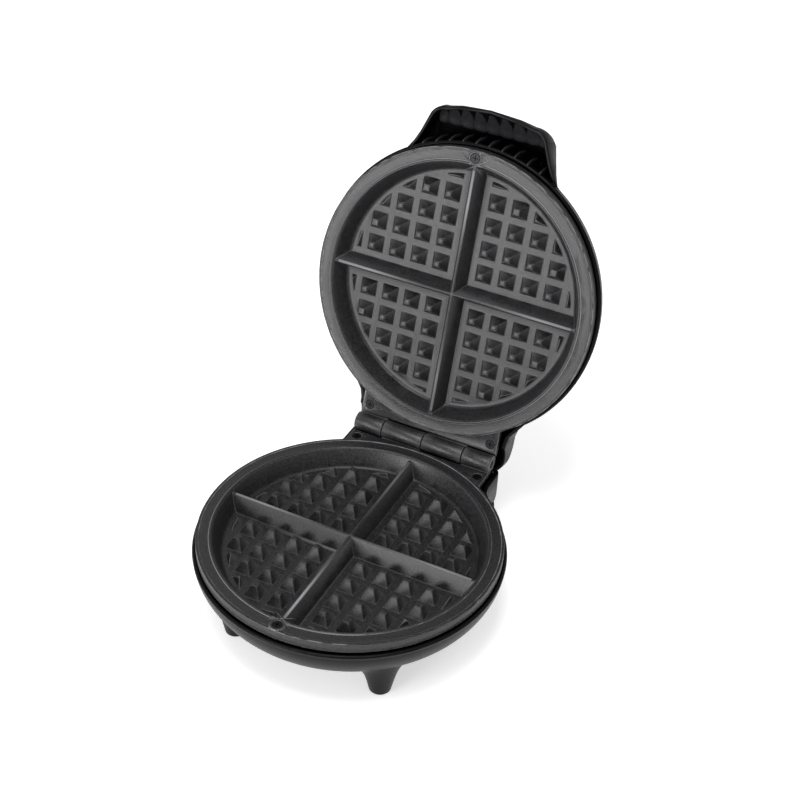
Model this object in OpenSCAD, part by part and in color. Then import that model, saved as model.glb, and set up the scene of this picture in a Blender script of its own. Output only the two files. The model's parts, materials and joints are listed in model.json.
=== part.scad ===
// Round hinged waffle maker: two identical cast plates, one turned over on
// the other, each carried by a moulded shell. The lid stands open on its stop.
// Frame: +X along the hinge pin, -Y to the front, +Z up, origin on the table
// under the middle of the open appliance's footprint. The modules are drawn
// about the plate's centre, and in_base() and in_lid() put them in the frame.

/* [Plates] */
// Outer radius of a plate's rim
plate_r = 102; // [98:0.5:106]
// Radius of the baking cavity at the rim
cavity_r = 91; // [88:0.5:92]
// Depth of the baking cavity
cavity_depth = 13; // [11:0.5:14]
// Depth of the rim's side
rim_side = 6.6; // [5:0.1:8]
// Wall of the casting
plate_wall = 3.2; // [2.5:0.1:4]
// Distance between neighbouring studs
stud_pitch = 16.8; // [16:0.1:17.5]
// Width of a stud at its foot
stud_base = 11.6; // [10:0.1:12.5]
// Width of a stud at its flat top
stud_top = 4.4; // [3:0.1:6]
// Height of a stud above the cavity floor
stud_height = 7.8; // [6:0.1:9]
// Width of a divider at its foot
divider_base = 11; // [9:0.5:12]
// Width of a divider at its ridge
divider_top = 1.9; // [1.5:0.1:3]
// How far the divider ridges lie below the rim
divider_drop = 1.1; // [0.6:0.1:2]

/* [Hinge] */
// Distance from the plate centre to the hinge pin
hinge_y = 112; // [110:0.5:116]
// Outer radius of the hinge barrels
barrel_r = 6.6; // [6:0.1:7]
// Half length of the row of barrels
barrel_half = 53; // [50:0.5:54]
// Radius of the hinge pin
pin_r = 2.75; // [2:0.05:3.5]
// Gap between the rims of the closed plates
rim_gap = 2; // [1.8:0.1:3]
// Angle at which the lid rests on its stop
open_deg = 105; // [95:0.5:108]

/* [Shells] */
// Height of the lower plate's rim above the table
rim_z = 64; // [60:1:70]
// Outer radius of a shell's rim
shell_r = 104.5; // [102.5:0.5:108]
// Depth of a shell below the plate's rim
shell_depth = 46; // [44:1:48]
// Wall of the shells
shell_wall = 2.5; // [2:0.1:3]
// Half width of the rear tongue of a shell
tongue_half = 57.4; // [56:0.1:60]
// Distance of the handle's front edge from the plate centre
handle_y = 127; // [124:0.5:130]
// Depth of the handle's lip below the plate's rim
handle_lip = 13; // [11:0.5:15]
// Depth of the bottom of the scoop below the plate's rim
handle_depth = 39; // [37:0.5:41]

/* [Hidden] */
$fn = 96;
// Small overlap that makes one solid of two touching shapes
bite = 0.02;
hinge_z = rim_z + rim_gap / 2;
// From the plate's centre to the middle of the open appliance's footprint
frame_y = 50.7;
floor_z = rim_z - cavity_depth;
under_z = floor_z - plate_wall;
leaf_top = rim_z - 3;
leaf_wall = 4;
leaf_half = 53;
leaf_start = 84;
barrel_step = 31.4;
barrel_gap = 0.6;
pin_clear = 0.05;
bead_h = 0.8;
stud_first = 16.4;
stud_count = 5;
front_screw = [0, -96.6];
leaf_screw = [47.5, 99.5];
screw_hole_r = 1.7;
screw_head_r = 3.1;
sink = 2.15;
shell_floor = rim_z - shell_depth;
shell_top = rim_z - rim_side - 1.3;
tongue_end = hinge_y + 10;
base_tongue = [36, 24];
lid_tongue = [27.5, 19];
tongue_floor = rim_z - base_tongue[0];
side_wall = 3;
swing_r = 13.4;
stop_gap = 0.3;
pin_recess = 1.5;
foot_front = [54, -58.5];
foot_rear = [42, 99];
foot_r = 7.2;
leg_flare = 0.2;
pad_r = 5.4;
pad_h = 2.4;
pad_proud = 1;
element_ring = 60;
element_r = 3.2;
element_z = under_z - element_r - 0.05;
reflector_z = rim_z - 30;
reflector_wall = 0.6;
boss_r = 4.4;
pilot_r = 1.25;
post_ring = 68;
post_angles = [30, 150, 270];
saddle_angles = [-10, 125, 215];
saddle_screw = element_r + 5;
stat_y = 26;
stat_screw = 21.5;
earth_at = [-34, 22];
block_y = 68;
block_floor = rim_z - shell_depth + 6.5;
clamp_post = [12, 107];
lamp_post = 26;
pole_pitch = 11;
gland_r = 6;
gland_z = tongue_floor + 14;
clamp_z = gland_z - 0.5;
clamp_reach = 4;
lamp_x = 13;
lamp_y = -66;
vent_pitch = 9;
band_count = 8;
band_pitch = 9.5;

// Points of a cubic curve between a and d, drawn towards b and c
function curve(a, b, c, d, n = 24) =
    [for (i = [0:n]) let (t = i / n, s = 1 - t)
        s * s * s * a + 3 * s * s * t * b + 3 * s * t * t * c + t * t * t * d];

// Points of an arc about c
function arc(c, r, a0, a1, n = 8) =
    [for (i = [0:n]) let (a = a0 + (a1 - a0) * i / n) c + r * [cos(a), sin(a)]];

// Both halves of an outline given for the +X side, from front to back
function both_sides(p) =
    concat(p, [for (i = [len(p) - 1:-1:0]) [-p[i][0], p[i][1]]]);

// Puts a lid piece, drawn closed, at the angle where it rests
module lid_open() {
    translate([0, hinge_y, hinge_z]) rotate([-open_deg, 0, 0])
        translate([0, -hinge_y, -hinge_z]) children();
}

// Turns a piece of the lower half over onto the upper half
module turned_over() {
    translate([0, 0, 2 * hinge_z]) rotate([0, 180, 0]) children();
}

// Moves a piece from the plate's centre line to the frame's origin
module in_base() {
    translate([0, -frame_y, 0]) children();
}

// A lid piece drawn the same way up as the base, then turned over and opened
module in_lid() {
    in_base() lid_open() turned_over() children();
}

// A solid bar along X with its outline given in Y and Z
module bar_x(points, half) {
    rotate([90, 0, 90]) translate([0, 0, -half]) linear_extrude(2 * half) polygon(points);
}

// A countersunk cross-head screw, head up, with its top at the origin
module screw(length, shank_r = 1.5, head_r = screw_head_r, head_h = 1.8) {
    difference() {
        union() {
            translate([0, 0, -head_h]) cylinder(h = head_h, r1 = head_r * 0.82, r2 = head_r);
            translate([0, 0, -length]) cylinder(h = length - head_h + bite, r = shank_r);
        }
        for (a = [0, 90]) rotate([0, 0, a])
            translate([-head_r * 0.62, -0.35, -1.1]) cube([head_r * 1.24, 0.7, 1.2]);
    }
}

// A ten-sided lead through a list of points, its straight runs lapped at the bends
module lead(points, r) {
    for (i = [0:len(points) - 2])
        let (d = points[i + 1] - points[i], l = norm(d))
            translate(points[i]) rotate([0, acos(d[2] / l), atan2(d[1], d[0])])
                translate([0, 0, -r * 0.6]) cylinder(h = l + r * 1.2, r = r, $fn = 10);
}

// Section of a plate: rim, two beads, sloped wall, filleted floor, and underside
module plate_section() {
    lip = 1.8;
    bead = 1.3;
    bead_mid = [cavity_r + 1.5, rim_z + bead_h - bead];
    fillet = 3;
    wall_foot = cavity_r - 4.4;
    polygon(concat(
        [[0, under_z], [0, floor_z]],
        arc([wall_foot - fillet, floor_z + fillet], fillet, 270, 342),
        [[cavity_r - 0.2, rim_z - 0.4]],
        arc(bead_mid, bead, 157, 23, 10),
        [[plate_r - lip - 0.3, rim_z], [plate_r - lip, rim_z + bead_h * 0.6]],
        [[plate_r - 0.5, rim_z + bead_h * 0.6], [plate_r, rim_z + bead_h * 0.2]],
        [[plate_r, rim_z - rim_side], [cavity_r + 2.6, rim_z - rim_side]],
        [[wall_foot + plate_wall + 0.6, under_z + 3], [wall_foot - 0.5, under_z]]
    ));
}

// One ridge of the stud grid, along X, with sloped sides
module ridge(base, top, height, half) {
    bar_x([[-base / 2 - 0.1, -0.1], [base / 2 + 0.1, -0.1], [top / 2, height], [-top / 2, height]], half);
}

// A row of parallel ridges at the stud spacing, on both sides of the middle
module ridge_row() {
    for (side = [-1, 1], i = [0:stud_count - 1])
        translate([0, side * (stud_first + i * stud_pitch), 0])
            ridge(stud_base, stud_top, stud_height, plate_r);
}

// Studs: where the two crossing rows of ridges meet, inside the cavity floor
module studs() {
    translate([0, 0, floor_z]) intersection() {
        ridge_row();
        rotate([0, 0, 90]) ridge_row();
        translate([0, 0, -1]) cylinder(h = stud_height + 2, r1 = cavity_r - 9, r2 = cavity_r - 12.8);
    }
}

// Cross of dividers that parts the waffle into quarters
module dividers() {
    height = cavity_depth - divider_drop;
    reach = cavity_r - 0.6;
    intersection() {
        translate([0, 0, floor_z]) union() {
            ridge(divider_base, divider_top, height, reach);
            rotate([0, 0, 90]) ridge(divider_base, divider_top, height, reach);
        }
        translate([0, 0, under_z]) cylinder(h = 30, r1 = cavity_r - 3, r2 = cavity_r + 4);
    }
}

// Flat leaf behind the rim, and the two barrels that it carries
module hinge_leaf() {
    slit = barrel_gap / 2;
    difference() {
        union() {
            translate([-leaf_half, leaf_start, leaf_top - leaf_wall])
                cube([2 * leaf_half, hinge_y - leaf_start, leaf_wall]);
            barrel(-barrel_step + slit, -slit);
            barrel(barrel_step + slit, barrel_half);
        }
        cylinder(h = 200, r = plate_r - 2);
        room_for_barrel(-slit, barrel_step + slit);
        room_for_barrel(-barrel_half - 2, -barrel_step + slit);
        translate([-80, hinge_y, hinge_z]) rotate([0, 90, 0]) cylinder(h = 160, r = pin_r + pin_clear);
        for (s = [-1, 1]) translate([s * leaf_screw[0], leaf_screw[1], leaf_top - 20])
            cylinder(h = 40, r = screw_hole_r);
        for (s = [-1, 1]) translate([s * leaf_screw[0], leaf_screw[1], leaf_top - sink])
            cylinder(h = 4, r = screw_head_r + 0.3);
    }
}

// A barrel of this plate, from x = start to x = stop, on its root
module barrel(start, stop) {
    translate([start, hinge_y, hinge_z]) rotate([0, 90, 0]) cylinder(h = stop - start, r = barrel_r);
    translate([start, hinge_y - barrel_r, leaf_top - leaf_wall])
        cube([stop - start, barrel_r, leaf_wall]);
}

// Cut in the leaf that clears a barrel of the other plate
module room_for_barrel(start, stop) {
    translate([start, hinge_y, hinge_z]) rotate([0, 90, 0]) cylinder(h = stop - start, r = barrel_r + 0.9);
    translate([start, hinge_y - 4, hinge_z - 20]) cube([stop - start, 40, 40]);
}

// Whole plate casting, the right way up for the lower half
module plate_casting() {
    difference() {
        union() {
            rotate_extrude($fn = 180) plate_section();
            studs();
            dividers();
            translate([front_screw[0], front_screw[1], rim_z - rim_side])
                cylinder(h = rim_side + bead_h, r = 5);
        }
        translate([front_screw[0], front_screw[1], rim_z - 20]) cylinder(h = 40, r = screw_hole_r);
        translate([front_screw[0], front_screw[1], rim_z + bead_h - sink])
            cylinder(h = 4, r = screw_head_r + 0.3);
        for (a = saddle_angles, s = [-1, 1]) rotate([0, 0, a])
            tapped_hole(element_ring + s * saddle_screw, 0);
        for (s = [-1, 1]) tapped_hole(0, stat_y + s * stat_screw);
        tapped_hole(earth_at[0], earth_at[1]);
    }
    hinge_leaf();
}

// Blind hole for a small screw in a plate's underside
module tapped_hole(x, y) {
    translate([x, y, under_z - 1]) cylinder(h = 3, r = 1.2, $fn = 24);
}

// The three screws that hold a plate down to its shell
module plate_screws() {
    translate([front_screw[0], front_screw[1], rim_z + bead_h - 0.3]) screw(16);
    for (s = [-1, 1]) translate([s * leaf_screw[0], leaf_screw[1], leaf_top - 0.3]) screw(16);
}

// Sheathed heater ring pressed to the underside of a plate, ends at the rear
module heating_element() {
    open = 34;
    turn = 90 + open / 2;
    translate([0, 0, element_z]) rotate([0, 0, turn])
        rotate_extrude(angle = 360 - open) translate([element_ring, 0]) circle(r = element_r, $fn = 32);
    for (s = [-1, 1]) rotate([0, 0, 90 + s * open / 2]) translate([element_ring, 0, element_z]) {
        sphere(r = element_r * 1.03, $fn = 32);
        translate([0, 0, -7]) cylinder(h = 7, r = element_r, $fn = 32);
        translate([0, 0, -14]) cylinder(h = 8, r = 1.2, $fn = 24);
    }
}

// Saddle that holds the heater ring up against the plate
module element_clamps() {
    ear = 8;
    strap = 1.2;
    wide = 8;
    inside = element_r + 0.25;
    for (a = saddle_angles) rotate([0, 0, a]) translate([element_ring, 0, 0]) difference() {
        union() {
            translate([0, wide / 2, element_z]) rotate([90, 0, 0])
                cylinder(h = wide, r = inside + strap, $fn = 32);
            translate([-element_r - ear, -wide / 2, under_z - strap - 0.05])
                cube([2 * (element_r + ear), wide, strap]);
        }
        translate([0, wide, element_z]) rotate([90, 0, 0]) cylinder(h = 2 * wide, r = inside, $fn = 32);
        translate([-20, -wide, under_z - 0.05]) cube([40, 2 * wide, 20]);
        translate([-inside, -wide, element_z]) cube([2 * inside, 2 * wide, element_r + 2]);
        for (s = [-1, 1]) translate([s * saddle_screw, 0, under_z - 5]) cylinder(h = 10, r = 1.6, $fn = 24);
    }
}

// Small pan-head screw that points up, with its head under the origin
module pan_screw(length) {
    translate([0, 0, -1.8]) cylinder(h = 1.8, r = 2.6, $fn = 24);
    cylinder(h = length, r = 1.35, $fn = 24);
}

// Pan-head screws of the saddles
module clamp_screws() {
    for (a = saddle_angles, s = [-1, 1]) rotate([0, 0, a])
        translate([element_ring + s * saddle_screw, 0, under_z - 1.3]) pan_screw(2.9);
}

// Thin dish that throws the heat back up, with slots for the heater's ends
module reflector() {
    difference() {
        rotate_extrude() polygon([[0, reflector_z], [76, reflector_z], [84, reflector_z + 7],
            [88, reflector_z + 7], [88, reflector_z + 7 + reflector_wall],
            [83.7, reflector_z + 7 + reflector_wall], [75.7, reflector_z + reflector_wall],
            [0, reflector_z + reflector_wall]]);
        for (s = [-1, 1]) rotate([0, 0, 90 + s * 17]) translate([element_ring, 0, 0])
            cylinder(h = 200, r = 6, $fn = 32);
        for (a = post_angles) rotate([0, 0, a]) translate([post_ring, 0, 0])
            cylinder(h = 200, r = 1.7, $fn = 24);
        translate([earth_at[0], earth_at[1] + 12, 0]) cylinder(h = 200, r = 4, $fn = 32);
    }
}

// Screws that hold the dish to the posts of its shell
module reflector_screws() {
    for (a = post_angles) rotate([0, 0, a]) translate([post_ring, 0, reflector_z + reflector_wall + 0.05]) {
        cylinder(h = 1.8, r = 3, $fn = 24);
        translate([0, 0, -7]) cylinder(h = 7.5, r = 1.4, $fn = 24);
    }
}

// Thermal cut-out in its sleeve, clipped under the plate
module thermal_fuse(x, y) {
    translate([x - 8, y, under_z - 2.5]) rotate([0, 90, 0]) cylinder(h = 16, r = 2.2, $fn = 24);
    translate([x - 3, y - 2.6, under_z - 5]) cube([6, 5.2, 4.9]);
}

// Outer solid of a shell: the bowl alone
module bowl_solid() {
    rotate_extrude($fn = 180) polygon(concat(
        [[0, shell_floor], [0, shell_top], [shell_r - 1, shell_top], [shell_r, shell_top - 0.8]],
        curve([shell_r, shell_top - 1], [shell_r - 1, rim_z - 26], [88, rim_z - 43], [62, shell_floor])
    ));
}

// Hollow of the bowl, open at the top
module bowl_hollow() {
    w = shell_wall;
    rotate_extrude($fn = 180) polygon(concat(
        [[0, shell_floor + w], [0, rim_z + 9], [shell_r - w, rim_z + 9]],
        curve([shell_r - w, shell_top - 1], [shell_r - 1 - w, rim_z - 25.5], [86.4, rim_z - 40.2],
            [62, shell_floor + w])
    ));
}

// Outline of the rear tongue, set in by inset, with its rear wall at y = end
function tongue_outline(inset, end, corner) = both_sides(concat(
    [[74 - inset, 50], [66 - inset, 82], [tongue_half - inset + 1.5, 92], [tongue_half - inset, 98]],
    arc([tongue_half - inset - corner, end - corner], corner, 0, 90, 6)
));

// Side view of a tongue of the given depth whose end rolls under, set in by inset
function tongue_side(depth, roll, inset) = concat(
    [[40, shell_top + inset * 20], [40, rim_z - depth + inset]],
    arc([tongue_end - roll, rim_z - depth + roll], roll - inset, 270, 360, 20),
    [[tongue_end - inset, shell_top + inset * 20]]
);

// Rear tongue of a shell, solid, as high as the shell's rim
module tongue_solid(shape) {
    intersection() {
        linear_extrude(shell_top) polygon(tongue_outline(0, tongue_end, 8));
        bar_x(tongue_side(shape[0], shape[1], 0), 90);
    }
}

// Hollow of the tongue
module tongue_hollow(shape) {
    intersection() {
        linear_extrude(100) polygon(tongue_outline(side_wall, tongue_end - shell_wall, 5.5));
        bar_x(tongue_side(shape[0], shape[1], shell_wall), 90);
    }
}

// Room for the plate's rim in the mouth of a shell
module plate_room() {
    translate([0, 0, shell_top]) cylinder(h = 60, r = plate_r + 1.2, $fn = 180);
}

// Post with a pilot hole, from the shell up to height z
module boss(x, y, z, r = boss_r) {
    translate([x, y, shell_floor + 1]) cylinder(h = z - shell_floor - 1, r = r, $fn = 32);
}

// Pilot hole of a post
module pilot(x, y, z, depth = 14) {
    translate([x, y, z - depth]) cylinder(h = depth + 1, r = pilot_r, $fn = 24);
}

// Posts for the plate and the reflector
module shell_posts(shape) {
    intersection() {
        union() {
            boss(front_screw[0], front_screw[1], rim_z - rim_side - 0.05);
            for (s = [-1, 1]) boss(s * leaf_screw[0], leaf_screw[1], leaf_top - leaf_wall - 0.05);
            for (a = post_angles)
                boss(post_ring * cos(a), post_ring * sin(a), reflector_z - 0.05, 3.6);
        }
        union() {
            bowl_solid();
            tongue_solid(shape);
        }
    }
}

// Pilot holes for the plate and the reflector
module shell_pilots() {
    pilot(front_screw[0], front_screw[1], rim_z - rim_side, 12);
    for (s = [-1, 1]) pilot(s * leaf_screw[0], leaf_screw[1], leaf_top - leaf_wall);
    for (a = post_angles) pilot(post_ring * cos(a), post_ring * sin(a), reflector_z, 9);
}

// Leg, hollow from inside
module leg(x, y, top) {
    high = top - pad_proud;
    translate([x, y, pad_proud]) cylinder(h = high, r1 = foot_r, r2 = foot_r + high * leg_flare);
}

// Hollow of a leg, and the socket for its pad
module leg_hollow(x, y, top) {
    high = top - 5;
    inner = foot_r - shell_wall;
    translate([x, y, 5]) cylinder(h = high, r1 = inner, r2 = inner + high * leg_flare);
    translate([x, y, -1]) cylinder(h = 1 + pad_h, r = pad_r + 0.05);
}

// Lower shell with legs, tongue and posts
module base_shell() {
    color("#1b1b1d") in_base() difference() {
        union() {
            difference() {
                union() {
                    bowl_solid();
                    tongue_solid(base_tongue);
                    for (s = [-1, 1]) {
                        leg(s * foot_front[0], foot_front[1], 32);
                        leg(s * foot_rear[0], foot_rear[1], tongue_floor + 6);
                    }
                }
                bowl_hollow();
                tongue_hollow(base_tongue);
                plate_room();
                for (s = [-1, 1]) {
                    leg_hollow(s * foot_front[0], foot_front[1], 34);
                    leg_hollow(s * foot_rear[0], foot_rear[1], tongue_floor + 9);
                }
            }
            shell_posts(base_tongue);
            translate([0, tongue_end, gland_z]) rotate([90, 0, 0])
                cylinder(h = tongue_end - clamp_post[1] - clamp_reach - 0.5, r = gland_r + 3);
            for (s = [-1, 1]) translate([s * clamp_post[0], clamp_post[1], tongue_floor + 1])
                cylinder(h = clamp_z - tongue_floor - 1.05, r = 3.4, $fn = 32);
            translate([-20, block_y - 8, shell_floor + 1]) cube([40, 16, block_floor - shell_floor - 1.05]);
        }
        shell_pilots();
        base_swing_cut();
        for (s = [-1, 1]) translate([s * clamp_post[0], clamp_post[1], clamp_z - 8])
            cylinder(h = 10, r = pilot_r, $fn = 24);
        translate([0, tongue_end + 5, gland_z]) rotate([90, 0, 0]) cylinder(h = 30, r = gland_r);
        for (i = [-3:3], s = [-1, 1]) translate([i * vent_pitch - 2, s * 26 - 20, shell_floor - 1])
            cube([4, 24, 6]);
    }
}

// Room behind the pin for the lid's tongue, down to the rear wall that stops it
module base_swing_cut() {
    lean = open_deg - 90;
    back = tongue_end - hinge_y;
    front = -back * sin(lean);
    drop = back * cos(lean) + stop_gap;
    reach = 60;
    difference() {
        translate([0, hinge_y, hinge_z]) bar_x([[front, -drop], [reach, -drop - (reach - front) * tan(lean)],
            [reach, reach], [front, reach]], 90);
        intersection() {
            translate([-90, hinge_y, hinge_z]) rotate([0, 90, 0]) cylinder(h = 180, r = swing_r - 0.3);
            translate([-90, hinge_y - 20, 0]) cube([180, 20 + back - shell_wall - 0.6, 100]);
        }
    }
}

// Rubber pads let into the legs
module foot_pads() {
    color("#101010") in_base() for (p = [foot_front, foot_rear], s = [-1, 1])
        translate([s * p[0], p[1], 0]) cylinder(h = pad_h, r = pad_r);
}

module lower_cooking_plate() {
    color("#2b2b2d") in_base() plate_casting();
}

module lower_plate_screws() {
    color("#3c3c3e") in_base() plate_screws();
}

module lower_heating_element() {
    color("#77736c") in_base() heating_element();
}

module lower_element_clamps() {
    color("#b8b8b8") in_base() element_clamps();
}

module lower_clamp_screws() {
    color("#c0c0c0") in_base() clamp_screws();
}

module lower_reflector() {
    color("#c8c8c8") in_base() reflector();
}

module lower_reflector_screws() {
    color("#c0c0c0") in_base() reflector_screws();
}

// Snap disc in its housing, held up under the middle of the plate
module thermostat() {
    color("#d8d2c4") in_base() translate([0, stat_y, under_z - 9.1]) {
        cylinder(h = 9, r = 7.5);
        for (s = [-1, 1]) translate([s * 9 - 3, -2, 1]) cube([6, 4, 0.8]);
    }
}

// Spring strap across the snap disc's housing
module thermostat_strap() {
    color("#b8b8b8") in_base() translate([0, stat_y, under_z - 10.4]) difference() {
        union() {
            translate([-3.5, -16, 0]) cube([7, 32, 1.2]);
            for (s = [-1, 1]) translate([-3.5, s * 16 - 0.6, 0]) cube([7, 1.2, 10.3]);
            for (s = [-1, 1]) translate([-3.5, s * 20 - 5, 9.1]) cube([7, 10, 1.2]);
        }
        for (s = [-1, 1]) translate([0, s * stat_screw, 5]) cylinder(h = 10, r = 1.6, $fn = 24);
    }
}

module thermostat_screws() {
    color("#c0c0c0") in_base() for (s = [-1, 1]) translate([0, stat_y + s * stat_screw, under_z - 1.4])
        pan_screw(3);
}

module lower_thermal_fuse() {
    color("#e8e4da") in_base() thermal_fuse(28, -14);
}

// Block where the supply joins the inner leads
module terminal_block() {
    color("#e6e3da") in_base() difference() {
        translate([-17, block_y - 6, block_floor]) cube([34, 12, 9]);
        for (i = [-1:1]) translate([i * pole_pitch, block_y, block_floor + 3.5]) {
            cylinder(h = 10, r = 1.9, $fn = 24);
            translate([0, 10, 0]) rotate([90, 0, 0]) cylinder(h = 20, r = 1.7, $fn = 24);
        }
    }
}

module terminal_screws() {
    color("#c9b26a") in_base() for (i = [-1:1]) translate([i * pole_pitch, block_y, block_floor + 4.6])
        cylinder(h = 4, r = 1.7, $fn = 24);
}

// Bush that lines the supply lead's hole in the rear wall
module cord_gland() {
    color("#151515") in_base() translate([0, tongue_end, gland_z]) rotate([-90, 0, 0]) difference() {
        union() {
            translate([0, 0, -8]) cylinder(h = 8 + bite, r = gland_r - 0.1);
            cylinder(h = 3, r = gland_r + 2);
        }
        translate([0, 0, -10]) cylinder(h = 20, r = 3.7);
    }
}

// Bar that grips the supply lead inside
module cord_clamp() {
    color("#232323") in_base() translate([0, clamp_post[1], clamp_z]) difference() {
        translate([-16.5, -clamp_reach, 0]) cube([33, 2 * clamp_reach, 6]);
        for (s = [-1, 1]) translate([s * clamp_post[0], 0, -1]) cylinder(h = 10, r = 1.7, $fn = 24);
        translate([0, 10, gland_z - clamp_z]) rotate([90, 0, 0]) cylinder(h = 20, r = 3.7);
    }
}

module cord_clamp_screws() {
    color("#c0c0c0") in_base() for (s = [-1, 1])
        translate([s * clamp_post[0], clamp_post[1], clamp_z + 6.05]) {
            cylinder(h = 1.8, r = 2.6, $fn = 24);
            translate([0, 0, -7]) cylinder(h = 7.2, r = 1.2, $fn = 24);
        }
}

// Brass screw that earths the lower plate
module earth_screw() {
    color("#c9b26a") in_base() translate([earth_at[0], earth_at[1], under_z - 0.05]) {
        translate([0, 0, -3]) cylinder(h = 3, r = 3.2, $fn = 6);
        translate([0, 0, -6]) cylinder(h = 3.5, r = 1.6, $fn = 24);
        cylinder(h = 1.6, r = 1.35, $fn = 24);
    }
}

// Two supply leads to the heater's ends, and the earth lead up to its screw
module lower_wires() {
    z = block_floor + 3.5;
    end_z = reflector_z - 4.8;
    color("#8a5a3c") in_base() lead([[-pole_pitch, block_y - 7.5, z], [-13, 59, z], [-17, 57.6, end_z]], 1.1);
    color("#3c5a8a") in_base() lead([[pole_pitch, block_y - 7.5, z], [13, 59, z], [17, 57.6, end_z]], 1.1);
    color("#4c7a3c") in_base() lead([[0, block_y - 7.5, z], [-8, 46, z - 1],
        [earth_at[0], earth_at[1] + 12, z - 1], [earth_at[0], earth_at[1] + 12, under_z - 8],
        [earth_at[0], earth_at[1] + 3.4, under_z - 4.6]], 1.1);
}

// Steel pin through all four barrels
module hinge_pin() {
    half = barrel_half - pin_recess;
    color("#9a9a9a") in_base() translate([-half, hinge_y, hinge_z]) rotate([0, 90, 0])
        cylinder(h = 2 * half, r = pin_r);
}

// Plan of the handle, set in from the full size by i
function handle_outline(i) = both_sides(concat(
    [[0, -handle_y + i], [21, -handle_y + 2 + i], [31, -handle_y + 4.6 + i]],
    arc([31.5, -handle_y + 16.5], 12 - i, 280, 338, 8),
    [[47.6 - i, -102], [51 - i, -95], [57 - i, -86], [57 - i, -60]]
));

// Side view of the handle: the front leans under and runs back to the bowl
function handle_side(i) = concat(
    [[-60, rim_z - handle_lip + i * 20], [-handle_y + i, rim_z - handle_lip + i * 20]],
    curve([-handle_y + i, rim_z - handle_lip - 1], [-handle_y + 2 + i, rim_z - handle_lip - 6 + i],
        [-112, rim_z - handle_depth + 3 + i], [-84, rim_z - handle_depth + i]),
    [[-60, rim_z - handle_depth + i]]
);

// Front view of the handle: its sides lean in towards the bottom of the scoop
function handle_front(i) = both_sides(concat(
    [[62, rim_z + i * 20], [60 - i, rim_z - handle_lip]],
    curve([56 - i, rim_z - handle_lip - 1], [49 - i, rim_z - handle_lip - 7],
        [46 - i, rim_z - handle_depth + 2 + i], [22, rim_z - handle_depth - 2 + i])
));

// Handle block of full size, or smaller by i for its hollow
module handle_block(i) {
    intersection() {
        linear_extrude(100) polygon(handle_outline(i));
        bar_x(handle_side(i), 80);
        translate([0, -50, 0]) rotate([90, 0, 0]) linear_extrude(100) polygon(handle_front(i));
    }
}

// Upper shell with scoop handle, tongue, posts and lamp holes
module lid_shell() {
    color("#1b1b1d") in_lid() difference() {
        union() {
            difference() {
                union() {
                    bowl_solid();
                    tongue_solid(lid_tongue);
                    handle_block(0);
                }
                bowl_hollow();
                tongue_hollow(lid_tongue);
                plate_room();
                difference() {
                    handle_block(shell_wall);
                    bowl_solid();
                }
            }
            intersection() {
                union() {
                    shell_posts(lid_tongue);
                    for (s = [-1, 1]) boss(s * lamp_post, lamp_y, shell_floor + 9, 3.2);
                }
                union() {
                    bowl_solid();
                    tongue_solid(lid_tongue);
                }
            }
        }
        shell_pilots();
        for (s = [-1, 1]) pilot(s * lamp_post, lamp_y, shell_floor + 9, 6);
        for (s = [-1, 1]) translate([s * lamp_x, lamp_y, shell_floor - 5]) cylinder(h = 12, r = 4.6);
        lid_swing_cut();
    }
}

// Room in the lid's tongue for the barrels and the base's rear wall
module lid_swing_cut() {
    translate([-90, hinge_y, hinge_z]) rotate([0, 90, 0]) cylinder(h = 180, r = swing_r);
}

// Fluted lining of the scoop's front wall, a separate moulding under the lip
module handle_grip_liner() {
    top = [-handle_y + 5, rim_z - handle_lip - 1.5];
    foot = [-107, rim_z - 30.5];
    slope = atan2(foot[1] - top[1], foot[0] - top[0]);
    color("#161617") in_lid() difference() {
        intersection() {
            handle_block(shell_wall + 0.05);
            bar_x([[-140, top[1]], top, foot, foot + [2, -4], [foot[0] + 2, 0], [-140, 0]], 41);
        }
        for (i = [1:band_count - 1]) translate([(i - band_count / 2) * band_pitch, top[0], top[1]])
            rotate([slope + 270, 0, 0]) cube([2, 2.4, 80], center = true);
    }
}

module upper_cooking_plate() {
    color("#2b2b2d") in_lid() plate_casting();
}

module upper_plate_screws() {
    color("#3c3c3e") in_lid() plate_screws();
}

module upper_heating_element() {
    color("#77736c") in_lid() heating_element();
}

module upper_element_clamps() {
    color("#b8b8b8") in_lid() element_clamps();
}

module upper_clamp_screws() {
    color("#c0c0c0") in_lid() clamp_screws();
}

module upper_reflector() {
    color("#c8c8c8") in_lid() reflector();
}

module upper_reflector_screws() {
    color("#c0c0c0") in_lid() reflector_screws();
}

module upper_thermal_fuse() {
    color("#e8e4da") in_lid() thermal_fuse(28, -14);
}

// Domed window of an indicator, pushed into the top of the lid
module lamp_lens(x) {
    translate([x, lamp_y, shell_floor]) {
        translate([0, 0, -1.25]) cylinder(h = 1.2, r1 = 4.8, r2 = 5.4);
        translate([0, 0, -0.1]) cylinder(h = 5, r = 4.5);
    }
}

module power_lamp_lens() {
    color("#c0281c") in_lid() lamp_lens(-lamp_x);
}

module ready_lamp_lens() {
    color("#2c9a3c") in_lid() lamp_lens(lamp_x);
}

// Two glass neon tubes behind the windows
module neon_lamps() {
    color("#f0d8b8") in_lid() for (s = [-1, 1]) translate([s * lamp_x, lamp_y, shell_floor + 5.4])
        cylinder(h = 7, r = 2.6, $fn = 32);
}

// Bracket that carries the neon tubes
module lamp_bracket() {
    color("#e6e3da") in_lid() difference() {
        translate([-30, lamp_y - 5, shell_floor + 9.05]) cube([60, 10, 1.6]);
        for (s = [-1, 1]) translate([s * lamp_x, lamp_y, 0]) cylinder(h = 100, r = 2.65, $fn = 32);
        for (s = [-1, 1]) translate([s * lamp_post, lamp_y, 0]) cylinder(h = 100, r = 1.6, $fn = 24);
        translate([0, -post_ring, 0]) cylinder(h = 100, r = 4.2, $fn = 32);
    }
}

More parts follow.
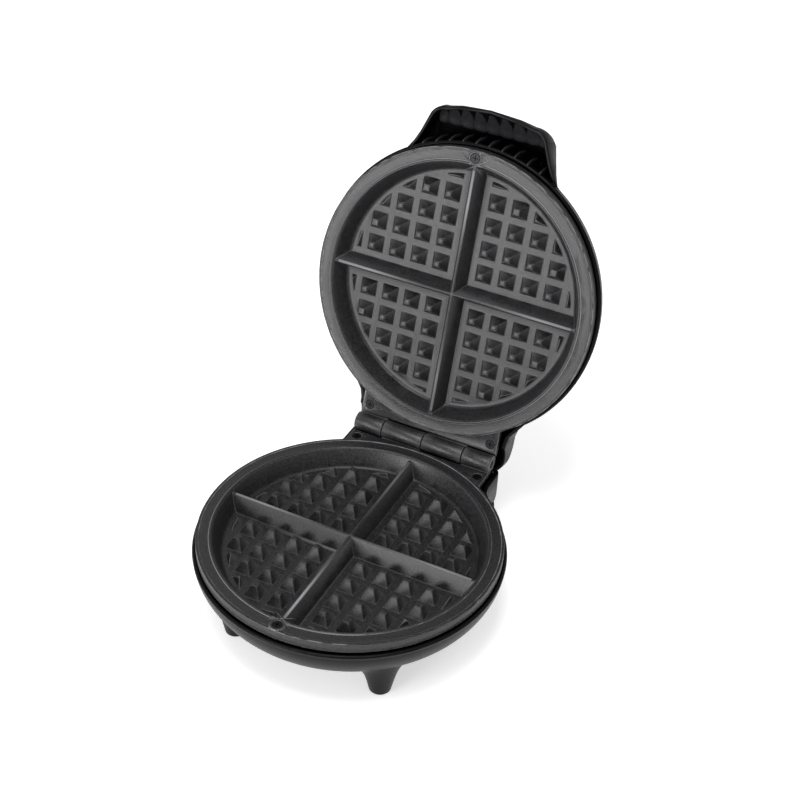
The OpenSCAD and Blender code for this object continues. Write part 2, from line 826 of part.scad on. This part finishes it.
module lamp_bracket_screws() {
    color("#c0c0c0") in_lid() for (s = [-1, 1]) translate([s * lamp_post, lamp_y, shell_floor + 10.7]) {
        cylinder(h = 1.6, r = 2.6, $fn = 24);
        translate([0, 0, -6]) cylinder(h = 6.2, r = 1.2, $fn = 24);
    }
}

// Leads from the neon tubes back to the heater's ends
module upper_wires() {
    z = shell_floor + 14.2;
    color("#8a5a3c") in_lid() lead([[-lamp_x, lamp_y, z], [-34, -50, z - 5], [-44, 0, z - 6],
        [-26, 50, z - 7], [-17, 57.6, reflector_z - 4.8]], 1.1);
    color("#3c5a8a") in_lid() lead([[lamp_x, lamp_y, z], [34, -50, z - 5], [44, 0, z - 6],
        [26, 50, z - 7], [17, 57.6, reflector_z - 4.8]], 1.1);
}

base_shell();
foot_pads();
lower_cooking_plate();
lower_plate_screws();
lower_heating_element();
lower_element_clamps();
lower_clamp_screws();
lower_reflector();
lower_reflector_screws();
thermostat();
thermostat_strap();
thermostat_screws();
lower_thermal_fuse();
terminal_block();
terminal_screws();
cord_gland();
cord_clamp();
cord_clamp_screws();
earth_screw();
lower_wires();
hinge_pin();
lid_shell();
handle_grip_liner();
upper_cooking_plate();
upper_plate_screws();
upper_heating_element();
upper_element_clamps();
upper_clamp_screws();
upper_reflector();
upper_reflector_screws();
upper_thermal_fuse();
power_lamp_lens();
ready_lamp_lens();
neon_lamps();
lamp_bracket();
lamp_bracket_screws();
upper_wires();
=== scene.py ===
import json

import bmesh
import bpy
import numpy as np
from mathutils import Matrix, Vector


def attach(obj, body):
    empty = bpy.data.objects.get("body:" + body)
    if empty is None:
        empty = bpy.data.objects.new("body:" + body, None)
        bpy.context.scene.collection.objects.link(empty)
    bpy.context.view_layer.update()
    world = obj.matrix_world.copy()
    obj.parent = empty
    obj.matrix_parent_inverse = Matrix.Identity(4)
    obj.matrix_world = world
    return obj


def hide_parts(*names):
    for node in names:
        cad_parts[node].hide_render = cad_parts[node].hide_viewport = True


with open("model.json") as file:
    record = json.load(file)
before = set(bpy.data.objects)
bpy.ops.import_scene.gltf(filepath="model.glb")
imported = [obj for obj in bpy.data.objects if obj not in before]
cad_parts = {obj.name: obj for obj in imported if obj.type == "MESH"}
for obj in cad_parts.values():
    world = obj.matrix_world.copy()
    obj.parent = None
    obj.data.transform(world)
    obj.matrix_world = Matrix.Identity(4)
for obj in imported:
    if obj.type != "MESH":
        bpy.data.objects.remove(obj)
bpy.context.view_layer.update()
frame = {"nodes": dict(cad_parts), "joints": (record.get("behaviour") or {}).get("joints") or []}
nodes = frame["nodes"]


# ---- Cooking plates ---------------------------------------------------------
# Two identical aluminium castings, pressure die-cast with their studs, dividers
# and hinge leaf, then grit-blasted and sprayed with a dark non-stick coating.
# The mould's edges are about half a millimetre round, and the coat softens them.

def linear(hex_colour):
    """Linear RGBA of an sRGB hex colour: each channel over 12.92 in the darkest
    part, else ((c + 0.055) / 1.055) to the power 2.4."""
    c = np.array([int(hex_colour[i:i + 2], 16) / 255 for i in (1, 3, 5)])
    return (*np.where(c <= 0.04045, c / 12.92, ((c + 0.055) / 1.055) ** 2.4), 1.0)


def add(tree, kind, values={}, links={}, **properties):
    """Adds a node with its own properties, its sockets' values, and links from
    other nodes' outputs to its sockets."""
    made = tree.nodes.new(kind)
    for name, value in properties.items():
        setattr(made, name, value)
    for name, value in values.items():
        made.inputs[name].default_value = value
    for name, source in links.items():
        tree.links.new(source, made.inputs[name])
    return made


def new_material(name, **shader):
    """A material with one Principled shader, whose unlinked sockets hold the given
    values, and its object coordinates in metres."""
    material = bpy.data.materials.new(name)
    material.use_nodes = True
    tree = material.node_tree
    tree.nodes.clear()
    sockets = {key.replace("_", " "): value for key, value in shader.items()}
    surface = add(tree, "ShaderNodeBsdfPrincipled", sockets)
    add(tree, "ShaderNodeOutputMaterial", links={"Surface": surface.outputs["BSDF"]})
    place = add(tree, "ShaderNodeTexCoord").outputs["Object"]
    return material, tree, surface, place


def rounded_copy(node, name, edge, body, smallest=28):
    """A CAD node's mesh with its loose triangles merged and its flat faces made
    whole; every edge sharper than `smallest` degrees is rounded over `edge` metres."""
    mesh = nodes[node].data.copy()
    mesh.name = name
    shape = bmesh.new()
    shape.from_mesh(mesh)
    bmesh.ops.remove_doubles(shape, verts=shape.verts, dist=2e-6)
    flat_within = 0.004
    bmesh.ops.dissolve_limit(
        shape, angle_limit=flat_within, verts=shape.verts, edges=shape.edges)
    for face in shape.faces:
        face.smooth = True
    shape.to_mesh(mesh)
    shape.free()
    mesh.materials.clear()
    piece = bpy.data.objects.new(name, mesh)
    bpy.context.scene.collection.objects.link(piece)
    rounding = piece.modifiers.new("rounded edges", "BEVEL")
    rounding.width = edge
    rounding.segments = 2
    rounding.limit_method = "ANGLE"
    rounding.angle_limit = np.radians(smallest)
    rounding.use_clamp_overlap = False
    rounding.harden_normals = True
    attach(piece, body)
    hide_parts(node)
    return piece


def grained(name, dark, light, grain, gloss, relief, stretch=(1, 1, 1), **shader):
    """A material whose colour, roughness and height follow one noise: `grain` and
    `relief` in mm, `gloss` its least and most roughness, `stretch` the grain's
    length along each axis."""
    material, tree, surface, place = new_material(name, **shader)
    along = add(tree, "ShaderNodeMapping", {"Scale": [1 / s for s in stretch]},
                {"Vector": place})
    noise = add(tree, "ShaderNodeTexNoise", {"Scale": 1000 / grain, "Detail": 2.0},
                {"Vector": along.outputs["Vector"]})
    height = add(tree, "ShaderNodeMapRange", {"From Min": 0.32, "From Max": 0.7},
                 {"Value": noise.outputs["Fac"]})
    shade = add(tree, "ShaderNodeMixRGB", {"Color1": linear(dark), "Color2": linear(light)},
                {"Fac": height.outputs["Result"]})
    rough = add(tree, "ShaderNodeMapRange", {"To Min": gloss[0], "To Max": gloss[1]},
                {"Value": height.outputs["Result"]})
    bump = add(tree, "ShaderNodeBump", {"Strength": 0.5, "Distance": relief / 1000},
               {"Height": noise.outputs["Fac"]})
    tree.links.new(shade.outputs["Color"], surface.inputs["Base Color"])
    tree.links.new(rough.outputs["Result"], surface.inputs["Roughness"])
    tree.links.new(bump.outputs["Normal"], surface.inputs["Normal"])
    return material


# Sprayed PTFE over blasted aluminium: nearly black, satin, and granular, so that it
# glitters in points. The real grain is about 0.3 mm; it is drawn at 0.9 mm to show.
coating = grained("ptfe_on_cast_aluminium", "#030304", "#323234",
                  0.9, (0.32, 0.48), 0.3, Specular_IOR_Level=0.42)

# A painted highlight: a line about 0.5 mm wide along every edge and in every
# corner is painted paler, where a rounded-off normal parts from the true one.
tree = coating.node_tree
base_colour = next(
    n for n in tree.nodes if n.type == "BSDF_PRINCIPLED").inputs["Base Color"]
rounded_off = add(tree, "ShaderNodeBevel", {"Radius": 0.0005}, samples=6)
true_normal = add(tree, "ShaderNodeNewGeometry").outputs["True Normal"]
match = add(tree, "ShaderNodeVectorMath",
            links={0: rounded_off.outputs["Normal"], 1: true_normal},
            operation="DOT_PRODUCT")
# Painted highlight: paler the more the rounded-off normal parts from the true one.
painted_edge_highlight = add(tree, "ShaderNodeMapRange",
                {"From Min": 0.99, "From Max": 0.85, "To Max": 0.9},
                {"Value": match.outputs["Value"]})
pale = add(tree, "ShaderNodeMixRGB", {"Color2": linear("#828284")},
           {"Fac": painted_edge_highlight.outputs["Result"],
            "Color1": base_colour.links[0].from_socket})
tree.links.new(pale.outputs["Color"], base_colour)

plate_edge = 0.00045
for node, body in (("lower_cooking_plate", "base"), ("upper_cooking_plate", "lid")):
    casting = node.replace("cooking_plate", "plate_casting")
    plate = rounded_copy(node, casting, plate_edge, body)
    plate.data.materials.append(coating)


# The hinge's pin in mm: its place in the frame, its distance behind the plate's
# centre, and the angle by which the lid stands open at rest.
pin_y, pin_z, pin_behind = 61.3, 65, 112
open_angle = np.radians(105)


def on_base(points):
    """Points in mm, drawn about the plate's centre, moved to the base."""
    return points + np.array([0, pin_y - pin_behind, 0])


def on_open_lid(points):
    """Points in mm, drawn the same way up as the base about the plate's centre:
    turned over about Y onto the base, then swung open about the pin."""
    x, y, z = np.moveaxis(points, -1, 0)
    back, down = y - pin_behind, pin_z - z
    return np.stack([-x, back * np.cos(open_angle) + down * np.sin(open_angle) + pin_y,
                     pin_z - back * np.sin(open_angle) + down * np.cos(open_angle)], -1)


def grid_piece(name, points, body, material, around=False):
    """One mesh of any number of grids of points in mm, with a four-sided face
    between neighbours; `around` joins each grid's last column to its first."""
    rows, columns = points.shape[-3:-1]
    index = np.arange(points.size // 3).reshape(-1, rows, columns)
    if around:
        index = np.concatenate([index, index[..., :1]], -1)
    faces = np.stack([index[:, :-1, :-1], index[:, :-1, 1:],
                      index[:, 1:, 1:], index[:, 1:, :-1]], -1).reshape(-1, 4)
    mesh = bpy.data.meshes.new(name)
    mesh.from_pydata((points.reshape(-1, 3) / 1000).tolist(), [], faces.tolist())
    shape = bmesh.new()
    shape.from_mesh(mesh)
    bmesh.ops.remove_doubles(shape, verts=shape.verts, dist=1e-6)
    bmesh.ops.recalc_face_normals(shape, faces=shape.faces)
    for face in shape.faces:
        face.smooth = True
    shape.to_mesh(mesh)
    shape.free()
    mesh.materials.append(material)
    piece = bpy.data.objects.new(name, mesh)
    bpy.context.scene.collection.objects.link(piece)
    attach(piece, body)
    return piece


def closed_bar(x, section):
    """A closed solid along x: `section` holds a loop of (y, z) at every x, and the
    loops at both ends shrink to their middle, which closes them."""
    middle = section.mean(1, keepdims=True) + 0 * section
    rows = np.concatenate([middle[:1], section, middle[-1:]])
    along = np.concatenate([x[:1], x, x[-1:]])[:, None] + 0 * rows[..., 0]
    return np.concatenate([along[..., None], rows], -1)


# The dividers' ridges come out of the mould fully round, 2.4 mm across. Each bar
# is a circle carried along its divider.
ridge_radius, ridge_top, ridge_reach = 1.2, 63.2, 88.0
turn = np.linspace(0, 2 * np.pi, 16, endpoint=False)
circle = np.stack([ridge_radius * np.cos(turn),
                   ridge_top - ridge_radius + ridge_radius * np.sin(turn)], -1)
bar = closed_bar(np.linspace(-ridge_reach, ridge_reach, 3), np.tile(circle, (3, 1, 1)))
ridges = np.stack([bar, bar[..., [1, 0, 2]]])


def squared(wave, power):
    """A sine or cosine raised to a power, with its sign kept."""
    return np.sign(wave) * np.abs(wave) ** power


# The studs' tops are soft cushions: the surface x = a cos(p)^e sin(q)^f, and so on
# for y and z, with powers below one that make the round squarer. Only the studs
# that lie whole inside the cavity have one.
first_stud, stud_pitch, stud_half = 16.4, 16.8, 2.2
stud_top, cushion_half, cushion_rise, cavity_radius = 58.5, 2.35, 0.8, 76
stud_at = np.array([-1, 1])[:, None] * (first_stud + stud_pitch * np.arange(4))
stud_x, stud_y = (m.ravel() for m in np.meshgrid(stud_at, stud_at))
whole = np.hypot(np.abs(stud_x) + stud_half, np.abs(stud_y) + stud_half) < cavity_radius
lean = np.linspace(0, np.pi, 10)[:, None]
spin = np.linspace(0, 2 * np.pi, 24, endpoint=False)[None, :]
cushion = np.stack([cushion_half * squared(np.cos(spin), 0.55) * squared(np.sin(lean), 0.6),
                    cushion_half * squared(np.sin(spin), 0.55) * squared(np.sin(lean), 0.6),
                    cushion_rise * np.cos(lean) + 0 * spin], -1)
centres = np.stack([stud_x[whole], stud_y[whole], stud_top + 0 * stud_x[whole]], -1)
cushions = centres[:, None, None, :] + cushion

for end, placed, body in (("lower", on_base, "base"), ("upper", on_open_lid, "lid")):
    for shape, points in (("divider_ridges", ridges), ("stud_tops", cushions)):
        grid_piece(f"{end}_{shape}", placed(points), body, coating,
                   around=True)


# ---- Housings ---------------------------------------------------------------
# The two shells, injection moulded in black glass-filled PBT. The mould was
# spark-eroded, which leaves the plastic satin. The plates screw down into them.

# Black PBT off a finely eroded mould: deep black with a soft sheen. The erosion
# is about 0.05 mm; it is drawn at 0.8 mm so that it shows at all.
moulding = grained("eroded_black_pbt", "#030304", "#070708",
                   0.8, (0.34, 0.46), 0.03, Specular_IOR_Level=0.12)

housing_edge = 0.0006
for node, body in (("base_shell", "base"), ("lid_shell", "lid")):
    shell = rounded_copy(node, node.replace("_shell", "_housing"), housing_edge, body)
    shell.data.materials.append(moulding)


def cubic(a, b, c, d, n):
    """Points of the cubic curve from a to d, drawn towards b and c: the four points
    weighted by (1-t)^3, 3t(1-t)^2, 3t^2(1-t) and t^3."""
    t = np.linspace(0, 1, n)[:, None]
    return (1 - t) ** 3 * a + 3 * t * (1 - t) ** 2 * b + 3 * t * t * (1 - t) * c + t ** 3 * d


# The fillets where the legs grow out of the base, part of the same moulding. The
# base's bowl falls from its rim to a flat bottom, in (radius, height).
bowl_bottom, nothing_there = 18, 200
bowl_ends = ((104.5, 55.1), (103.5, 38), (88, 21), (62, bowl_bottom))
bowl_side = cubic(*(np.array(p, float) for p in bowl_ends), 80)
tongue_half, tongue_front, roll_start, roll_radius, roll_height = 66, 60, 98, 24, 52


def under_base(x, y):
    """Height of the base's underside over (x, y) about the plate's centre: the
    bowl's curve by radius, or behind it the tongue's floor, which is the roll's
    height less a quarter circle of the roll's radius."""
    bowl = np.interp(np.hypot(x, y), bowl_side[::-1, 0], bowl_side[::-1, 1],
                     left=bowl_bottom, right=nothing_there)
    past = np.maximum(y - roll_start, 0)
    floor = roll_height - np.sqrt(np.maximum(roll_radius ** 2 - past ** 2, 1))
    on_tongue = (y > tongue_front) & (np.abs(x) < tongue_half)
    return np.minimum(bowl, np.where(on_tongue, floor, nothing_there))


leg_foot, leg_radius, leg_taper = 1.6, 7.25, 0.2
fillet, fillet_fade, leg_sunk = 6.5, 4.5, 0.4


def leg_skin(x0, y0):
    """Surface of a leg: at each height its radius is the leg's, plus a fifth of the
    height, plus a fillet that grows as exp(-gap / 4.5 mm) towards the base's
    underside. The top ring is found again as the radius grows."""
    around = np.linspace(0, 2 * np.pi, 48, endpoint=False)[None, :]
    along = np.linspace(0, 1, 30)[:, None]
    radius = np.full((30, 48), 14.0)
    for _ in range(6):
        top = under_base(x0 + radius[-1] * np.cos(around),
                         y0 + radius[-1] * np.sin(around)) + leg_sunk
        height = leg_foot + (top - leg_foot) * along
        radius = (leg_radius + leg_taper * (height - 1)
                  + fillet * np.exp((height - top) / fillet_fade))
    return on_base(np.stack([x0 + radius * np.cos(around),
                             y0 + radius * np.sin(around), height], -1))


leg_rows = {"front": (54, -58.5), "rear": (42, 99)}
for side, sign in (("left", -1), ("right", 1)):
    for end, (leg_x, leg_y) in leg_rows.items():
        grid_piece(f"{end}_{side}_leg_fillet", leg_skin(sign * leg_x, leg_y), "base",
                   moulding, around=True)


# ---- Handle lining and fins --------------------------------------------------
# A separate black PBT moulding under the handle's lip. Its front wall is fluted
# for the fingers, and thin fins below it tie the handle to the lid's bowl.
flute_pitch, flute_depth, flute_lean = 9.5, 1.3, 0.7
liner_half = 40.0
bowl_radius, rim_height = 104.3, 64.0

# Painted lighter than the housing, as painted light on the fluted wall and fins.
lining = grained("satin_black_pbt_painted_lit", "#1b1b1d", "#2a2a2c",
                 0.8, (0.3, 0.42), 0.03, Specular_IOR_Level=0.4)

# The wall's path in (y, depth): down from the lip at 45 degrees, then level to a
# rounded edge, and back behind it. `groove` is how far each point sinks between
# two flutes, and the corners are cut back to stay inside the handle's skin.
front = np.array([(-124.5, 14.4), (-122.4, 16.6), (-119.5, 19.6), (-116.5, 22.0),
                  (-113.5, 23.8), (-111.0, 24.7), (-109.4, 25.3), (-108.4, 26.2),
                  (-108.0, 27.6)])
behind = np.array([(-109.5, 28.3), (-113.8, 25.9), (-117.6, 23.0), (-121.6, 18.7),
                   (-124.9, 14.0)])
steps = np.linspace(0, len(front) - 1, 25)
wall = np.stack([np.interp(steps, np.arange(len(front)), front[:, i]) for i in (0, 1)], -1)
across = np.linspace(-liner_half, liner_half, 265)
groove = flute_depth * (1 - np.abs(np.cos(np.pi * across / flute_pitch)) ** 0.5)
wall = wall + flute_lean * groove[:, None, None] * np.array([-1, 1])
section = np.concatenate([wall, np.tile(behind, (len(across), 1, 1))], 1)
corner_cut = np.interp(np.abs(across), [0, 21, 31, 38, 40], [0, 2.0, 4.6, 6.4, 8.2])
skin_front = 125.2
section[..., 0] = np.maximum(section[..., 0], (corner_cut - skin_front)[:, None])
section[..., 1] = rim_height - section[..., 1]
liner = grid_piece("fluted_handle_lining", on_open_lid(closed_bar(across, section)),
                   "lid", lining, around=True)
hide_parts("handle_grip_liner")

# Each fin's outline in (y, depth) from its root on the bowl. Both of its faces are
# a little smaller than its middle, so its edges are soft.
fin = np.array([(0.8, 8.4), (-0.5, 8.7), (-1.8, 12.5), (-2.5, 18.0), (-2.2, 28.0),
                (0.8, 28.0)])
fin_x = np.array([-0.6, -0.4, 0.4, 0.6])
fin_size = np.array([0.93, 1.0, 1.0, 0.93])[:, None, None]
for i in range(-5, 5):
    at = (i + 0.5) * flute_pitch
    outline = fin + np.array([-np.sqrt(bowl_radius ** 2 - at ** 2), 0])
    soft = outline.mean(0) + (outline - outline.mean(0)) * fin_size
    soft[..., 1] = rim_height - soft[..., 1]
    grid_piece(f"handle_rib_{i + 6}", on_open_lid(closed_bar(at + fin_x, soft)),
               "lid", lining, around=True)


# ---- Screws that show --------------------------------------------------------
# Pan screws through the plates' rims and leaves, of steel blackened in hot oxide
# and oiled, so they look dark grey with a soft metal gleam.

def finish(material, *names):
    """Gives CAD nodes their finished material."""
    for name in names:
        for slot in nodes[name].material_slots:
            slot.material = material


screw_steel = grained("blackened_screw_steel", "#121213", "#242426",
                      0.5, (0.34, 0.5), 0.01, Metallic=0.8)
finish(screw_steel, "lower_plate_screws", "upper_plate_screws")

# The hinge's pin: cold-drawn mild steel, with fine lines along its length.
drawn_steel = grained("drawn_steel", "#77787a", "#a3a4a6",
                      0.5, (0.28, 0.42), 0.008, (12, 1, 1), Metallic=1.0)
finish(drawn_steel, "hinge_pin")


# ---- Feet and gland ----------------------------------------------------------
# Small pads pressed into the legs, and the bush in the rear wall, of black
# nitrile rubber off a dull mould: matt, with a slight bloom.
rubber = grained("nitrile_rubber", "#0c0c0c", "#191919",
                 1.2, (0.68, 0.85), 0.03, Specular_IOR_Level=0.3)
finish(rubber, "foot_pads", "cord_gland")


# ---- Heaters under the plates ------------------------------------------------
# A rod heater in a nickel alloy sheath lies in each casting's groove. Heat turns
# the drawn metal straw and brown in patches.
sheath = grained("heat_tinted_nickel_alloy", "#4a4038", "#7d7265",
                 6.0, (0.3, 0.45), 0.01, Metallic=0.9)
finish(sheath, "lower_heating_element", "upper_heating_element")

# Dished heat shields of hot-dipped aluminised sheet, with faint rolling lines.
aluminised = grained("aluminised_sheet", "#a8a8a5", "#c9c9c6",
                     1.5, (0.22, 0.38), 0.02, (8, 1, 1), Metallic=1.0)
finish(aluminised, "lower_reflector", "upper_reflector")

# Pressed straps and small screws with bright zinc plate: bluish and a bit cloudy.
zinc = grained("bright_zinc_plate", "#a9acb0", "#c8cbce",
               2.0, (0.2, 0.36), 0.005, Metallic=1.0)
finish(zinc, "lower_element_clamps", "upper_element_clamps", "lower_clamp_screws",
       "upper_clamp_screws", "lower_reflector_screws", "upper_reflector_screws",
       "thermostat_strap", "thermostat_screws", "cord_clamp_screws", "lamp_bracket_screws")

# Thermostat, terminal block and lamp bracket: pale melamine, pressed and a bit shiny.
melamine = grained("pressed_melamine", "#d3cdbe", "#e2ddd0", 3.0, (0.4, 0.5), 0.01)
finish(melamine, "thermostat", "terminal_block", "lamp_bracket")


# ---- Wiring ------------------------------------------------------------------
# Brass screws in the block and at the earth point, turned from bar: warm and
# bright, with lines from the tool.
brass = grained("turned_brass", "#a98c45", "#c8ab62",
                0.6, (0.24, 0.36), 0.006, Metallic=1.0)
finish(brass, "terminal_screws", "earth_screw")

# Thermal fuses in a sleeve of woven glass yarn, 0.7 mm strands, dull and off-white.
glass_sleeve = grained("woven_glass_sleeve", "#bdb8aa", "#e6e2d6",
                       0.7, (0.8, 0.92), 0.15, (1, 3, 1))
finish(glass_sleeve, "lower_thermal_fuse", "upper_thermal_fuse")

# Leads in extruded silicone rubber, slightly glossy and brown.
silicone = grained("silicone_insulation", "#573a28", "#6b4a35", 1.5, (0.4, 0.5), 0.01)
finish(silicone, "lower_wires", "upper_wires")

# The bar over the supply lead: black glass-filled nylon, dry and slightly grey.
nylon = grained("glass_filled_nylon", "#161617", "#242425", 1.0, (0.5, 0.65), 0.04)
finish(nylon, "cord_clamp")


# ---- Indicator lamps ---------------------------------------------------------
# Two clear coloured polycarbonate lenses in the lid's outside, polished in the
# mould, over small glass neon lamps.
for tint, dark, light, node in (("red", "#7d0f0a", "#a3180f", "power_lamp_lens"),
                                ("green", "#0c5a1c", "#157a2a", "ready_lamp_lens")):
    lens = grained(f"{tint}_polycarbonate", dark, light, 2.5, (0.08, 0.14), 0.004,
                   Transmission_Weight=0.35, IOR=1.585)
    finish(lens, node)
lamp_glass = grained("neon_lamp_glass", "#e8dccb", "#f4ecdf", 2.0, (0.05, 0.1), 0.003,
                     Transmission_Weight=0.6, IOR=1.52)
finish(lamp_glass, "neon_lamps")


# ---- Room, light and camera -------------------------------------------------
# A flat floor of pale paper, lit by a white room, a large softbox overhead and a
# lower one at the front left. The paper glows a little, which softens shadows.
floor_mesh = bpy.data.meshes.new("floor")
corner = 60.0
floor_mesh.from_pydata([(-corner, -corner, 0), (corner, -corner, 0), (corner, corner, 0),
                        (-corner, corner, 0)], [], [(0, 1, 2, 3)])
floor = bpy.data.objects.new("floor", floor_mesh)
bpy.context.scene.collection.objects.link(floor)
white = (1, 1, 1, 1)
paper = new_material("pale_paper", Roughness=0.9, Base_Color=linear("#f4f4f4"),
                     Emission_Color=white, Emission_Strength=0.5)[0]
floor_mesh.materials.append(paper)

world = bpy.data.worlds.new("studio")
world.use_nodes = True
background = world.node_tree.nodes["Background"]
background.inputs["Color"].default_value = white
background.inputs["Strength"].default_value = 0.6
bpy.context.scene.world = world

# The lower plate's middle, level with its rim, from the hinge.
hinge = Vector(frame["joints"][0]["pos_m"])
plate_middle = Vector((0, hinge.y - 0.112, hinge.z - 0.001))


def softbox(name, where, size, watts):
    """A square area light at `where`, facing the lower plate's middle."""
    data = bpy.data.lights.new(name, "AREA")
    data.size = size
    data.energy = watts
    light = bpy.data.objects.new(name, data)
    light.location = where
    light.rotation_euler = (plate_middle - Vector(where)).to_track_quat("-Z", "Y").to_euler()
    bpy.context.scene.collection.objects.link(light)


softbox("overhead", (0.1, -0.5, 1.6), 0.5, 12)
softbox("front left", (-0.55, -1.5, 0.32), 0.6, 17)


def towards(around, above):
    """Unit vector from the plate to a place `around` the front and `above` level."""
    return Vector((np.sin(around) * np.cos(above), -np.cos(around) * np.cos(above),
                   np.sin(above)))


# The camera stands off the plate's middle, and is panned, tilted and rolled a
# little from looking straight at it.
azimuth, elevation, distance = np.radians(26.66), np.radians(41.48), 1.02767
pan, tilt, roll = np.radians(-2.08), np.radians(-5.02), np.radians(3.05)
camera_data = bpy.data.cameras.new("camera")
camera_data.lens = 69.62
camera = bpy.data.objects.new("camera", camera_data)
back = towards(azimuth + pan, elevation + tilt)
side = (-back).cross(Vector((0, 0, 1))).normalized()
up = side.cross(-back)
right = np.cos(roll) * side + np.sin(roll) * up
top = -np.sin(roll) * side + np.cos(roll) * up
turned = Matrix((right, top, back)).transposed().to_4x4()
stand = plate_middle + distance * towards(azimuth, elevation)
camera.matrix_world = Matrix.Translation(stand) @ turned
bpy.context.scene.collection.objects.link(camera)
bpy.context.scene.camera = camera
bpy.context.scene.view_settings.view_transform = "Standard"
